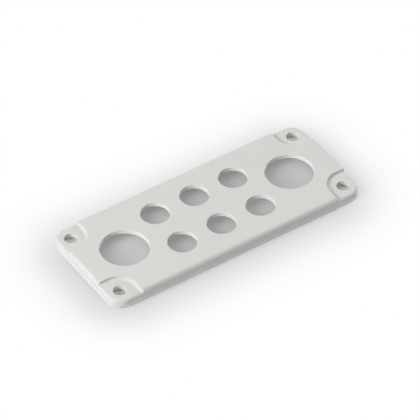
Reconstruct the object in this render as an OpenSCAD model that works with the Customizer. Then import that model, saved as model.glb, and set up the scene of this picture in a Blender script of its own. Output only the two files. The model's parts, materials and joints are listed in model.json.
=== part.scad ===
// Cable entry plate: a moulded flange plate with gland holes, sunk corner pads and a flat seal
// under its rim. The origin is the middle of the seal's lower face, +X runs along the plate's
// length and +Z out of its front face.

/* [Plate] */
// Length along X
plate_l = 221; // [190:1:260]
// Width along Y
plate_w = 89; // [76:1:110]
// Height of the moulding from its rim's foot to its front face
plate_h = 7.2; // [6:0.1:12]
// Thickness of the front wall, where the glands sit
wall = 3.5; // [2:0.1:5]
// Radius of the plate's corners in plan
corner_r = 11.5; // [6:0.5:18]
// Rounding of the front edge
edge_r = 3; // [1:0.1:3.8]

/* [Large gland holes] */
// Diameter
large_d = 37.5; // [30:0.1:42]
// Distance of each centre from its end of the plate
large_in = 36.8; // [34:0.1:42]

/* [Small gland holes] */
// Diameter
small_d = 22.5; // [16:0.1:26]
// Number of holes in each row
small_n = 3; // [1:1:3]
// Distance between centres in a row
small_pitch = 34.9; // [30:0.1:38]
// Distance between the two rows
row_pitch = 36.4; // [32:0.1:40]

/* [Corner pads] */
// Length of a pad from the plate's end
pad_l = 23.8; // [20:0.1:26]
// Width of a pad from the plate's long side
pad_w = 24.6; // [20:0.1:26]
// Depth of a pad below the front face
pad_depth = 2.5; // [2:0.1:3.5]
// Radius of a pad's inner corner in plan
pad_r = 15; // [8:0.5:18]
// Cove between a pad's floor and its wall
pad_cove_r = 1.8; // [0.5:0.1:3]
// Rounding of the front face's edge around a pad
pad_rim_r = 0.4; // [0.2:0.1:0.6]
// Rounding of a pad's outer edge
pad_edge_r = 2.2; // [0.5:0.1:2.5]
// Diameter of the screw hole
screw_d = 10; // [5:0.1:11]
// Distance of the screw hole from the plate's end
screw_in_x = 10.9; // [9:0.1:13]
// Distance of the screw hole from the plate's long side
screw_in_y = 11.5; // [9:0.1:13]

/* [Underside] */
// Width of the sealing rim along the sides
rim_w = 6.5; // [4:0.1:9]
// Thickness of the wall around a pad
pad_wall = 2.8; // [2:0.1:4]
// Radius of the pocket's edges in plan
pocket_r = 4; // [2:0.5:6]
// Diameter of the relief under a screw hole, in the plate and in the seal
relief_d = 14; // [12:0.1:15]
// Depth of the relief in the plate
relief_h = 1; // [0.5:0.1:1.5]

/* [Seal] */
// Thickness of the seal
seal_t = 3; // [2:0.1:5]
// How far the seal's outside stays back from the plate's
seal_inset = 0; // [0:0.1:1]

/* [Hidden] */
$fn = 96;
eps = 1;
pad_z = plate_h - pad_depth;
pad_x = plate_l / 2 - pad_l;
pad_y = plate_w / 2 - pad_w;
cove_r = min(pad_cove_r, pad_depth - pad_rim_r - 0.1);
large_x = plate_l / 2 - large_in;
screw_x = plate_l / 2 - screw_in_x;
screw_y = plate_w / 2 - screw_in_y;

// A rectangle with round corners, centred
module round_rect(l, w, r) {
  square([l, w - 2 * r], center = true);
  square([l - 2 * r, w], center = true);
  for (x = [-1, 1], y = [-1, 1])
    translate([x * (l / 2 - r), y * (w / 2 - r)]) circle(r);
}

// Section of an edge: flat foot, upright wall at x = d and a round top edge
module edge_section(d, h, r) {
  square([d, h - r]);
  square([d - r, h]);
  translate([d - r, h - r]) intersection() {
    circle(r);
    square(r);
  }
}

// A slab with round corners and a round top edge that follows them
module edged_slab(l, w, h, rc, re) {
  cx = l / 2 - rc;
  cy = w / 2 - rc;
  translate([-cx, -cy, 0]) cube([2 * cx, 2 * cy, h]);
  for (m = [0, 1]) {
    mirror([0, m, 0]) translate([-cx, cy, 0])
      rotate([90, 0, 90]) linear_extrude(2 * cx) edge_section(rc, h, re);
    mirror([m, 0, 0]) translate([cx, cy, 0])
      rotate([90, 0, 0]) linear_extrude(2 * cy) edge_section(rc, h, re);
  }
  for (x = [0, 1], y = [0, 1])
    mirror([x, 0, 0]) mirror([0, y, 0]) translate([cx, cy, 0])
      rotate_extrude(angle = 90) edge_section(rc, h, re);
}

// Plan of one corner pad, grown by g and reaching past the plate's outside
module pad_plan(g) {
  r = pad_r + g;
  translate([pad_x - g + r, pad_y - g]) square([pad_l, pad_w + eps]);
  translate([pad_x - g, pad_y - g + r]) square([pad_l + eps, pad_w]);
  translate([pad_x - g + r, pad_y - g + r]) circle(r);
}

module each_corner() {
  for (x = [0, 1], y = [0, 1]) mirror([x, 0, 0]) mirror([0, y, 0]) children();
}

// Plan of the hollow under the front wall
module pocket_plan() {
  difference() {
    round_rect(plate_l - 2 * rim_w, plate_w - 2 * rim_w, pocket_r);
    each_corner() pad_plan(pad_wall);
  }
}

// What a round of radius r takes off a square edge that has its corner at the origin
module round_off(r) {
  difference() {
    translate([-eps, -r]) square(r + eps);
    translate([r, -r]) circle(r);
  }
}

// What a pad takes out of the plate: a slab upside down, so that its lower edge leaves the cove
module pad_cut() {
  l = pad_l + pad_r + eps;
  w = pad_w + pad_r + eps;
  translate([pad_x + l / 2, pad_y + w / 2, plate_h + eps]) mirror([0, 0, 1])
    edged_slab(l, w, pad_depth + eps, pad_r, cove_r);
}

// Cutter that rounds the front face's edge along the wall of one pad
module pad_rim_cut() {
  cx = pad_x + pad_r;
  cy = pad_y + pad_r;
  translate([cx, cy, plate_h]) rotate([0, 0, 180])
    rotate_extrude(angle = 90) translate([pad_r, 0]) round_off(pad_rim_r);
  translate([pad_x, plate_w / 2 + eps, plate_h]) mirror([1, 0, 0])
    rotate([90, 0, 0]) linear_extrude(plate_w / 2 + eps - cy) round_off(pad_rim_r);
  translate([cx, pad_y, plate_h]) mirror([0, 1, 0])
    rotate([90, 0, 90]) linear_extrude(plate_l / 2 + eps - cx) round_off(pad_rim_r);
}

// Cutter that rounds one outer edge of a pad: along the floor, up the cove and up the wall.
// The edge's face is at x = face, the pad's wall at y = from, the plate's round corner at y = to.
module pad_side_cut(face, from, to) {
  translate([face, to, pad_z]) rotate([90, 0, 0])
    linear_extrude(to - from - cove_r) mirror([1, 0]) round_off(pad_edge_r);
  translate([face, from + cove_r, pad_z + cove_r]) rotate([0, 90, 0]) rotate([0, 0, -90])
    rotate_extrude(angle = 90) translate([cove_r, 0]) round_off(pad_edge_r);
  translate([face, from, pad_z + cove_r])
    linear_extrude(pad_depth - cove_r + eps) mirror([1, 0]) round_off(pad_edge_r);
}

// Cutter that rounds a pad's outer edge all the way
module pad_edge_cut() {
  cx = plate_l / 2 - corner_r;
  cy = plate_w / 2 - corner_r;
  pad_side_cut(plate_l / 2, pad_y, cy);
  mirror([1, -1, 0]) pad_side_cut(plate_w / 2, pad_x, cx);
  translate([cx, cy, pad_z])
    rotate_extrude(angle = 90) translate([corner_r, 0]) mirror([1, 0]) round_off(pad_edge_r);
}

module gland_holes() {
  for (m = [-1, 1]) {
    translate([m * large_x, 0, -eps]) cylinder(d = large_d, h = plate_h + 2 * eps);
    for (i = [0 : small_n - 1])
      translate([(i - (small_n - 1) / 2) * small_pitch, m * row_pitch / 2, -eps])
        cylinder(d = small_d, h = plate_h + 2 * eps);
  }
}

module plate() {
  color([0.80, 0.80, 0.78])
    translate([0, 0, seal_t])
      difference() {
        edged_slab(plate_l, plate_w, plate_h, corner_r, edge_r);
        each_corner() {
          pad_cut();
          pad_rim_cut();
          pad_edge_cut();
        }
        translate([0, 0, -eps]) linear_extrude(plate_h - wall + eps) pocket_plan();
        gland_holes();
        each_corner() translate([screw_x, screw_y, -eps]) {
          cylinder(d = screw_d, h = plate_h + 2 * eps);
          cylinder(d = relief_d, h = relief_h + eps);
        }
      }
}

module seal() {
  color([0.72, 0.73, 0.74])
    linear_extrude(seal_t)
      difference() {
        round_rect(plate_l - 2 * seal_inset, plate_w - 2 * seal_inset, corner_r - seal_inset);
        pocket_plan();
        each_corner() translate([screw_x, screw_y]) circle(d = relief_d);
      }
}

plate();
seal();
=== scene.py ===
import json
from math import cos, hypot, pi, radians, sin

import bmesh
import bpy
from mathutils import Matrix, Vector


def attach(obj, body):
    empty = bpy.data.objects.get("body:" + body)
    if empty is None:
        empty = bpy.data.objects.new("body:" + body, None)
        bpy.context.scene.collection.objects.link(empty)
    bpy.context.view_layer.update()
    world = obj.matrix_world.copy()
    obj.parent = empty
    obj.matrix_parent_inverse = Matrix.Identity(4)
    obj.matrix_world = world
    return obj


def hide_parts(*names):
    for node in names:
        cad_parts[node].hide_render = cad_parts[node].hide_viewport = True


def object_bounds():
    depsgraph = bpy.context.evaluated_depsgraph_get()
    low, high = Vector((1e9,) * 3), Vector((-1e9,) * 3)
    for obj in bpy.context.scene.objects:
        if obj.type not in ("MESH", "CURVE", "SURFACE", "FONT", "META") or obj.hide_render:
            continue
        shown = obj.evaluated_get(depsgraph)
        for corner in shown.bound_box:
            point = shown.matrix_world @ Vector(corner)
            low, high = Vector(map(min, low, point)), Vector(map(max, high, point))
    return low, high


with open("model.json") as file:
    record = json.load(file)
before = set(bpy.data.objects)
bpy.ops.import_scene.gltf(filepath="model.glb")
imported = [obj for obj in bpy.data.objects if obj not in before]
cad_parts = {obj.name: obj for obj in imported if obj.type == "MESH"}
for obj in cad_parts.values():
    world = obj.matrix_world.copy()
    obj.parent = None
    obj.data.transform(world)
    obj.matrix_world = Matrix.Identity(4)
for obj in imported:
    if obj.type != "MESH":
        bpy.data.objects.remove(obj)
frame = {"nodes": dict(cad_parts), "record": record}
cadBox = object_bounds()
scene = bpy.context.scene
scene.view_settings.view_transform = "Standard"
print("frame loaded")

mm = 0.001  # for the record's lengths in millimetres
midLevel = 0.5  # the noises run from 0 to 1 about this


def tint(red, green, blue):
    return (red, green, blue, 1.0)


def grey(level):
    return tint(level, level, level)


class Wire:  # an output socket that takes plain arithmetic
    def __init__(self, finish, socket):
        self.finish = finish
        self.socket = socket

    def __add__(self, other):
        return self.finish.maths("ADD", self, other)

    __radd__ = __add__

    def __sub__(self, other):
        return self.finish.maths("SUBTRACT", self, other)

    def __rsub__(self, other):
        return self.finish.maths("SUBTRACT", other, self)

    def __mul__(self, other):
        return self.finish.maths("MULTIPLY", self, other)

    __rmul__ = __mul__


class Finish:  # a material or the world, and its node tree
    def __init__(self, owner):
        owner.use_nodes = True
        self.owner = owner
        self.tree = owner.node_tree
        self.tree.nodes.clear()

    def node(self, kind, settings=None, sockets=None, out=0):
        made = self.tree.nodes.new(kind)
        for key, value in (settings or {}).items():
            if key == "stops":
                ramp = made.color_ramp.elements
                while len(ramp) < len(value):
                    ramp.new(1.0)
                for stop, (place, level) in zip(ramp, value):
                    stop.position = place
                    stop.color = grey(level)
            else:
                setattr(made, key, value)
        for key, value in (sockets or {}).items():
            if isinstance(value, Wire):
                self.tree.links.new(value.socket, made.inputs[key])
            else:
                made.inputs[key].default_value = value
        return Wire(self, made.outputs[out]) if made.outputs else None

    def maths(self, operation, *values, clamp=False):
        return self.node("ShaderNodeMath", {"operation": operation, "use_clamp": clamp},
                         dict(enumerate(values)))

    def vector(self, operation, *values, out="Vector"):
        return self.node("ShaderNodeVectorMath", {"operation": operation},
                         dict(enumerate(values)), out)

    def place(self):  # where a point is on the piece, in metres
        return self.node("ShaderNodeTexCoord", None, None, "Object")

    def mark(self, name):  # a value that the mesh's faces carry
        return self.node("ShaderNodeAttribute", {"attribute_name": name}, None, "Fac")

    def noise(self, place, size, detail, rough=0.5):
        return self.node("ShaderNodeTexNoise", None, {"Vector": place, "Scale": 1.0 / size,
                                                      "Detail": detail, "Roughness": rough})

    def ramp(self, value, stops):
        return self.node("ShaderNodeValToRGB", {"stops": stops}, {"Fac": value})

    def blend(self, amount, first, second):  # colour sockets go by number: they share names
        return self.node("ShaderNodeMix", {"data_type": "RGBA"},
                         {0: amount, 6: first, 7: second}, 2)

    def bump(self, height, depth, strength=1.0, normal=None):
        sockets = {"Height": height, "Distance": depth, "Strength": strength}
        if normal:
            sockets["Normal"] = normal
        return self.node("ShaderNodeBump", None, sockets)

    def seen(self):  # 1 for a camera, glossy or transmitted ray
        rays = [self.node("ShaderNodeLightPath", None, None, f"Is {ray} Ray")
                for ray in ("Camera", "Glossy", "Transmission")]
        return self.maths("MINIMUM", sum(rays), 1.0)


def heading(azimuth, elevation):  # the way from the plate to a camera or lamp
    turn, rise = radians(azimuth), radians(elevation)
    return Vector((sin(turn) * cos(rise), -cos(turn) * cos(rise), sin(rise)))


# camera, at the angle that the plate's edges and holes give
cameraSet = {"azimuth": -34.04, "elevation": 43.35, "distance": 2.9677, "focalPixels": 4000.0,
             "aim": (0.0, 0.0, 0.0102), "aimPixel": (207.88, 209.29), "frame": 420,
             "sensor": 36.0, "clip": (0.05, 50.0)}


def placeCamera(use):
    turn = radians(use["azimuth"])
    back = heading(use["azimuth"], use["elevation"])
    right = Vector((cos(turn), sin(turn), 0.0))
    up = back.cross(right)
    perPixel = use["distance"] / use["focalPixels"]
    half = use["frame"] / 2
    side = (half - use["aimPixel"][0]) * perPixel
    lift = (use["aimPixel"][1] - half) * perPixel
    spot = Vector(use["aim"]) + back * use["distance"] + right * side + up * lift
    lens = bpy.data.cameras.new("camera")
    lens.sensor_fit = "HORIZONTAL"
    lens.sensor_width = use["sensor"]
    lens.lens = use["sensor"] * use["focalPixels"] / use["frame"]
    lens.clip_start, lens.clip_end = use["clip"]
    holder = bpy.data.objects.new("camera", lens)
    turned = Matrix((right, up, back)).transposed().to_4x4()
    holder.matrix_world = Matrix.Translation(spot) @ turned
    scene.collection.objects.link(holder)
    scene.camera = holder


placeCamera(cameraSet)
print("camera placed")


# every gland hole and screw hole: its centre, its radius and how pale its wall is
boreSet = {"gland": 1.0, "screw": 0.6}
bores = []
for mount in frame["record"]["mounts"]:
    x, y = mount["pos_m"][:2]
    dims = mount["dims"]
    if mount["kind"] == "bore":
        bores.append((x, y, dims["r_mm"] * mm, boreSet["gland"]))
    if mount["kind"] == "bolt_pattern":
        wide, paintedShadeDeep = dims["spacing_x_mm"] * mm / 2, dims["spacing_y_mm"] * mm / 2
        bores += [(x + i * wide, y + j * paintedShadeDeep, dims["hole_r_mm"] * mm, boreSet["screw"])
                  for i in (-1, 1) for j in (-1, 1)]

# how both pieces come from their solids, lengths in metres and angles in degrees;
# within is how many edge widths a wall may lie from the outline that it belongs to
solidSet = {"weld": 1e-6, "flat": 0.4, "sharp": 75.0, "short": 0.0005,
            "upright": 0.9, "within": 2, "weight": 100}


def grounded(edge):  # a foot that lies on the floor stays square
    return max(corner.co.z for corner in edge.verts) < solidSet["short"]


def brokenEdges(name, node, use):
    mesh = bpy.data.meshes.new(name)
    work = bmesh.new()
    work.from_mesh(frame["nodes"][node].data)
    bmesh.ops.remove_doubles(work, verts=work.verts, dist=solidSet["weld"])
    bmesh.ops.dissolve_limit(work, angle_limit=radians(solidSet["flat"]),
                             verts=work.verts, edges=work.edges)
    worn = work.faces.layers.float.new("edge")
    bored = work.faces.layers.float.new("bore")
    sharp = [edge for edge in work.edges
             if edge.calc_face_angle() > radians(solidSet["sharp"])
             and edge.calc_length() > solidSet["short"] and not grounded(edge)]
    made = bmesh.ops.bevel(work, geom=sharp, offset=use["edge"], offset_type="OFFSET",
                           segments=use["steps"], profile=0.5, affect="EDGES",
                           clamp_overlap=False, loop_slide=True)
    for edge in work.edges:
        edge.smooth = not grounded(edge)
    for face in made["faces"]:
        face[worn] = 1.0
    near = solidSet["within"] * use["edge"]
    for face in work.faces:
        face.smooth = True
        face.material_index = 0
        upright = abs(face.normal.z) < solidSet["upright"]
        middle = face.calc_center_median()
        for x, y, radius, pale in bores:
            if upright and abs(hypot(middle.x - x, middle.y - y) - radius) < near:
                face[bored] = pale
    work.to_mesh(mesh)
    work.free()
    mesh.materials.clear()
    piece = bpy.data.objects.new(name, mesh)
    scene.collection.objects.link(piece)
    even = piece.modifiers.new("even", "WEIGHTED_NORMAL")
    even.keep_sharp = True
    even.weight = solidSet["weight"]
    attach(piece, "root")
    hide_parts(node)
    print(name, len(mesh.polygons), "faces,", len(sharp), "edges broken")
    return piece


# the moulded plate: matt, with the fine grain of an eroded mould; the walls of its holes are
# paler
plateSet = {"edge": 0.00030, "steps": 3,
            "light": (0.655, 0.655, 0.633), "dark": (0.628, 0.628, 0.606),
            "paleWall": (0.81, 0.81, 0.79), "paleWallGrain": 0.3,
            "cloud": 0.030, "cloudDetail": 3.0, "cloudStops": ((0.30, 0.0), (0.70, 1.0)),
            "cloudInTone": 0.6, "grain": 0.00030, "grainDetail": 2.0, "grainRough": 0.6,
            "fine": 0.00012, "fineDetail": 1.0, "grainInRelief": 0.7, "grainDepth": 0.000012,
            "edgeFlat": 0.6, "rough": 0.62, "roughByGrain": 0.16, "roughByCloud": 0.05,
            "roughByEdge": 0.08, "ior": 1.5, "shine": 0.25}


def mouldedGrey(use):
    look = Finish(bpy.data.materials.new("mouldedGrey"))
    place = look.place()
    cloud = look.ramp(look.noise(place, use["cloud"], use["cloudDetail"]), use["cloudStops"])
    grain = look.noise(place, use["grain"], use["grainDetail"], use["grainRough"])
    fine = look.noise(place, use["fine"], use["fineDetail"])
    edge = look.mark("edge")
    tone = cloud * use["cloudInTone"] + grain * (1 - use["cloudInTone"])
    moulded = look.blend(tone, tint(*use["dark"]), tint(*use["light"]))
    # the walls of the gland and screw holes are given a paler colour than the rest of the plate
    paleWall = look.mark("bore") * (1 - use["paleWallGrain"] / 2 + grain * use["paleWallGrain"])
    colour = look.blend(paleWall, moulded, tint(*use["paleWall"]))
    rough = (use["rough"] + (grain - midLevel) * use["roughByGrain"]
             + (cloud - midLevel) * use["roughByCloud"] - edge * use["roughByEdge"])
    relief = grain * use["grainInRelief"] + fine * (1 - use["grainInRelief"])
    relief = relief * (1 - edge * use["edgeFlat"])
    skin = look.node("ShaderNodeBsdfPrincipled", None,
                     {"Base Color": colour, "Roughness": rough,
                      "IOR": use["ior"], "Specular IOR Level": use["shine"],
                      "Normal": look.bump(relief, use["grainDepth"])})
    look.node("ShaderNodeOutputMaterial", None, {"Surface": skin})
    return look.owner


plateBody = brokenEdges("plateBody", "plate", plateSet)
plateBody.data.materials.append(mouldedGrey(plateSet))

# the flat seal: a soft neutral grey, closed pores; tuck is how far its outer side leans in
sealSet = {"edge": 0.00020, "steps": 2, "corner": 0.0115, "tuck": 0.56,
           "light": (0.830, 0.835, 0.837), "dark": (0.780, 0.785, 0.787),
           "pore": 0.00030, "poreStops": ((0.05, 0.0), (0.45, 1.0)), "poreInTone": 0.6,
           "poreDepth": 0.00001, "poreStrength": 0.4, "cloud": 0.012, "cloudDetail": 3.0,
           "rough": 0.86, "roughByCloud": 0.10, "ior": 1.45}


def markOutside(piece, use):  # only the outer side is tucked in, not the walls of the openings
    mark = piece.data.attributes.new("outer", "FLOAT", "FACE")
    inner = use["corner"] - solidSet["within"] * use["edge"]
    for face in piece.data.polygons:
        apart = [max(abs(face.center[i]) - cadBox[1][i] + use["corner"], 0.0) for i in (0, 1)]
        mark.data[face.index].value = float(hypot(*apart) > inner)


def foamGrey(use):
    look = Finish(bpy.data.materials.new("foamGrey"))
    place = look.place()
    cloud = look.noise(place, use["cloud"], use["cloudDetail"])
    cell = look.node("ShaderNodeTexVoronoi", {"feature": "F1"},
                     {"Vector": place, "Scale": 1.0 / use["pore"]})
    pore = look.ramp(cell, use["poreStops"])
    tone = pore * use["poreInTone"] + cloud * (1 - use["poreInTone"])
    colour = look.blend(tone, tint(*use["dark"]), tint(*use["light"]))
    rough = use["rough"] + (cloud - midLevel) * use["roughByCloud"]
    height = look.node("ShaderNodeSeparateXYZ", None, {0: place}, "Z")
    lean = height * look.mark("outer") * use["tuck"]
    tucked = look.bump(lean, depth=1.0)  # a soft edge, pressed in towards its foot
    skin = look.node("ShaderNodeBsdfPrincipled", None,
                     {"Base Color": colour, "Roughness": rough, "IOR": use["ior"],
                      "Normal": look.bump(pore, use["poreDepth"], use["poreStrength"], tucked)})
    look.node("ShaderNodeOutputMaterial", None, {"Surface": skin})
    return look.owner


sealFrame = brokenEdges("sealFrame", "seal", sealSet)
markOutside(sealFrame, sealSet)
sealFrame.data.materials.append(foamGrey(sealSet))

# the floor, with a painted shadow: grey at the plate, white further out, painted shade darker
# under the plate and darkest midway;
# a plan is its middle, its half size without the corners and their radius
floorSet = {"size": 8.0, "drop": 0.00001, "bounced": 0.86,
            "shade": ((-0.003, -0.003, 0.0), (0.0845, 0.0185, 1.0), 0.020), "reach": 0.060,
            "foot": ((0.0, 0.0, 0.0), (0.0990, 0.0330, 1.0), 0.0115), "margin": 0.002,
            "midway": ((0.0, 0.0, 0.0), (0.046, 1.0, 1.0), 0.0), "fade": 0.008,
            "under": 0.040, "paintedShadeDeep": 0.487,
            "tone": ((0.0, 0.540), (0.10, 0.69), (0.17, 0.74), (0.27, 0.79), (0.37, 0.845),
                     (0.52, 0.92), (0.70, 0.97), (1.0, 1.0)),
            "glow": ((0.0, 0.44), (0.10, 0.69), (0.17, 0.74), (0.37, 0.845), (0.52, 0.92),
                     (1.0, 1.0))}


def shadowPaintedFloor(use):
    look = Finish(bpy.data.materials.new("shadowPaintedFloor"))
    spot = look.place()

    def past(middle, half, corner):  # distance outside a plan
        apart = look.vector("ABSOLUTE", look.vector("SUBTRACT", spot, middle))
        apart = look.vector("MAXIMUM", look.vector("SUBTRACT", apart, half), (0.0, 0.0, 0.0))
        return look.vector("LENGTH", apart, out="Value") - corner

    # painted shadow: the floor's colour darkens towards the plate, under it and most of all
    # midway, where shade would fall
    clear = look.maths("MULTIPLY_ADD", past(*use["foot"]), 1 / use["margin"], 1.0, clamp=True)
    ends = look.maths("MULTIPLY", past(*use["midway"]), 1 / use["fade"], clamp=True)
    share = past(*use["shade"]) * (1 / use["reach"])
    share = look.maths("MINIMUM", share, clear + use["under"])  # clear is 0 under the plate
    tone = look.ramp(share, use["tone"])
    tone = look.blend((1 - clear) * (1 - ends), tone, grey(use["paintedShadeDeep"]))
    glow = look.ramp(share, use["glow"])
    seen = look.seen()
    lit = look.node("ShaderNodeBsdfPrincipled", None,
                    {"Base Color": look.blend(seen, grey(use["bounced"]), tone),
                     "Roughness": 1.0, "Specular IOR Level": 0.0})
    # the floor glows its painted-shadow tone for camera rays, so much of its shadow is painted
    # rather than cast
    paintedShadowGlow = look.node("ShaderNodeEmission", None, {"Color": tone})
    both = look.node("ShaderNodeMixShader", None, {0: seen * glow, 1: lit, 2: paintedShadowGlow})
    look.node("ShaderNodeOutputMaterial", None, {"Surface": both})
    return look.owner


def layFloor(use):
    mesh = bpy.data.meshes.new("floor")
    half = use["size"] / 2
    corners = [(-half, -half, 0), (half, -half, 0), (half, half, 0), (-half, half, 0)]
    mesh.from_pydata(corners, [], [(0, 1, 2, 3)])
    mesh.materials.append(shadowPaintedFloor(use))
    floor = bpy.data.objects.new("floor", mesh)
    floor.location.z = -use["drop"]
    scene.collection.objects.link(floor)


# each lamp: its level, azimuth, elevation and size; level 1 gives a white card its own colour
lightSet = {"dome": 0.14, "distance": 2.4,
            "lamps": {"key": (0.88, -88.5, 35.0, 1.35),
                      "side": (0.54, 104.0, 15.5, 1.35),
                      "top": (0.385, 0.0, 90.0, 3.0)}}


def lightStudio(use):
    sky = Finish(bpy.data.worlds.new("studio"))
    strength = use["dome"] + sky.seen() * (1 - use["dome"])
    glow = sky.node("ShaderNodeBackground", None, {"Color": grey(1.0), "Strength": strength})
    sky.node("ShaderNodeOutputWorld", None, {"Surface": glow})
    scene.world = sky.owner
    for name, (level, azimuth, elevation, size) in use["lamps"].items():
        back = heading(azimuth, elevation)
        lamp = bpy.data.lights.new(name, "AREA")
        lamp.shape = "DISK"
        lamp.size = size
        lamp.energy = level * (pi * use["distance"]) ** 2
        holder = bpy.data.objects.new(name, lamp)
        holder.location = back * use["distance"]
        holder.rotation_euler = back.to_track_quat("Z", "Y").to_euler()
        scene.collection.objects.link(holder)


layFloor(floorSet)
lightStudio(lightSet)
print("floor and light set")
